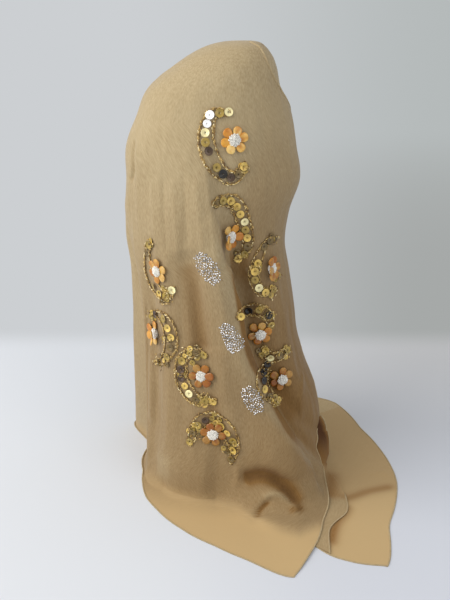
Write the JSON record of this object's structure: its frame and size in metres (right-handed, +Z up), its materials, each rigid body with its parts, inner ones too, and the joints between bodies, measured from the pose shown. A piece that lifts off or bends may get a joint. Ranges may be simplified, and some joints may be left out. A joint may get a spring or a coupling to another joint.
{
  "type": "hijab draped on a head-form display stand",
  "caption": "Square chiffon scarf draped over a head-form stand, one corner panel set with raised flowers, hems spread on the table",
  "frame": {"origin": "on the table under the middle of the stand's round base", "axes": "+Z up, +X the way the head form faces, -Y the side that shows the flowers"},
  "size_m": [0.3365, 0.3721, 0.501],
  "materials": {
    "chiffon": "soft crepe weave",
    "amber_petals": "pearly gloss",
    "form_plastic": "matt"
  },
  "bodies": {
    "root": {"drape_near": "chiffon", "drape_back": "chiffon", "drape_tail": "chiffon", "tail_fold": "chiffon", "flower_1": "amber_petals", "flower_2": "amber_petals", "flower_3": "amber_petals", "flower_4": "amber_petals", "flower_5": "amber_petals", "flower_6": "amber_petals", "flower_7": "amber_petals", "flower_8": "amber_petals", "flower_9": "amber_petals", "form_head": "form_plastic", "form_base": "form_plastic"}
  },
  "joints": []
}
